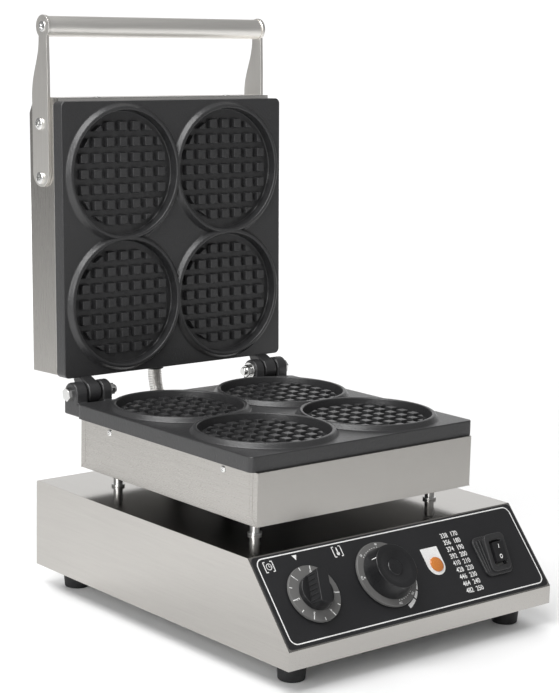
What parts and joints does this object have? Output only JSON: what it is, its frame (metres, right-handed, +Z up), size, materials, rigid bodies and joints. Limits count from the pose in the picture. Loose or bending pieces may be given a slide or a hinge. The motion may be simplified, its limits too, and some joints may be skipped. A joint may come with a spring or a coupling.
{
  "type": "round waffle maker",
  "caption": "Countertop waffle maker with round rimmed cavities, a hinged steel lid with a bar handle, and a sloped control panel with knobs and a rocker switch.",
  "frame": {"origin": "on the surface that the feet stand on, under the middle of the whole object with its lid open", "axes": "+Z up, the control panel faces -Y, the lid hinges at the +Y side about a line along X"},
  "size_m": [0.3, 0.4158, 0.5172],
  "materials": {
    "brushed_steel": "fine lengthways brushing, warm grey",
    "plain_steel": "plain mill finish",
    "cast_nonstick": "matt black non-stick coat on a fine cast grain",
    "rubber_foot": "matt black",
    "bright_steel": "bright plated",
    "heater_steel": "dull grey",
    "panel_black": "satin black with white lines and numbers",
    "knob_black": "satin black moulded",
    "gland_black": "matt black moulded",
    "conduit_metal": "wound bright metal hose",
    "lens_orange": "clear orange",
    "control_plastic": "pale grey moulded"
  },
  "bodies": {
    "base": {"back_left_foot": "rubber_foot", "back_left_post": "bright_steel", "back_right_foot": "rubber_foot", "back_right_post": "bright_steel", "base_bottom_plate": "plain_steel", "base_conduit_gland": "gland_black", "base_gland_nuts": "gland_black", "base_housing": "brushed_steel", "bottom_plate_screws": "bright_steel", "control_panel": "panel_black", "foot_screws": "bright_steel", "front_left_foot": "rubber_foot", "front_left_post": "bright_steel", "front_right_foot": "rubber_foot", "front_right_post": "bright_steel", "hinge_bolt_left": "bright_steel", "hinge_bolt_right": "bright_steel", "hinge_nuts": "bright_steel", "hinge_washers": "bright_steel", "indicator_body": "control_plastic", "indicator_lens": "lens_orange", "lid_conduit": "conduit_metal", "lower_clamp_screws": "bright_steel", "lower_element_clamps": "plain_steel", "lower_heating_element": "heater_steel", "lower_plate": "cast_nonstick", "lower_shell": "brushed_steel", "lower_shell_screws": "bright_steel", "mains_cable_gland": "gland_black", "post_nuts": "bright_steel", "switch_bezel": "knob_black", "switch_body": "control_plastic", "terminal_block": "control_plastic", "thermostat_body": "control_plastic", "thermostat_bulb": "heater_steel", "timer_body": "control_plastic", "wiring_tube": "plain_steel"},
    "lid": {"handle_arm_left": "brushed_steel", "handle_arm_nuts": "bright_steel", "handle_arm_right": "brushed_steel", "handle_arm_screws": "bright_steel", "handle_end_screws": "bright_steel", "handle_plugs": "plain_steel", "handle_tube": "brushed_steel", "lid_conduit_gland": "gland_black", "lid_gland_nut": "gland_black", "upper_clamp_screws": "bright_steel", "upper_element_clamps": "plain_steel", "upper_heating_element": "heater_steel", "upper_plate": "cast_nonstick", "upper_shell": "brushed_steel", "upper_shell_screws": "bright_steel"},
    "timer_knob_body": {"timer_knob": "knob_black", "timer_shaft": "bright_steel"},
    "temperature_knob_body": {"temperature_knob": "knob_black", "thermostat_shaft": "bright_steel"},
    "power_rocker_body": {"switch_rocker": "knob_black"}
  },
  "joints": [
    {"name": "lid_hinge", "type": "hinge", "parent": "base", "child": "lid", "pos_m": [0, 0.13512, 0.1781], "axis": [1, 0, 0], "range_deg": [0, 92.3], "deforming": ["lid_conduit"]},
    {"name": "timer_turn", "type": "hinge", "parent": "base", "child": "timer_knob_body", "pos_m": [-0.104, -0.18134, 0.06625], "axis": [0, 0.7622, -0.6473], "range_deg": [0, 300]},
    {"name": "temperature_turn", "type": "hinge", "parent": "base", "child": "temperature_knob_body", "pos_m": [-0.024, -0.18004, 0.06778], "axis": [0, 0.7622, -0.6473], "range_deg": [0, 280]},
    {"name": "power_tilt", "type": "hinge", "parent": "base", "child": "power_rocker_body", "pos_m": [0.1015, -0.18771, 0.0674], "axis": [-1, 0, 0], "range_deg": [0, 16]}
  ]
}
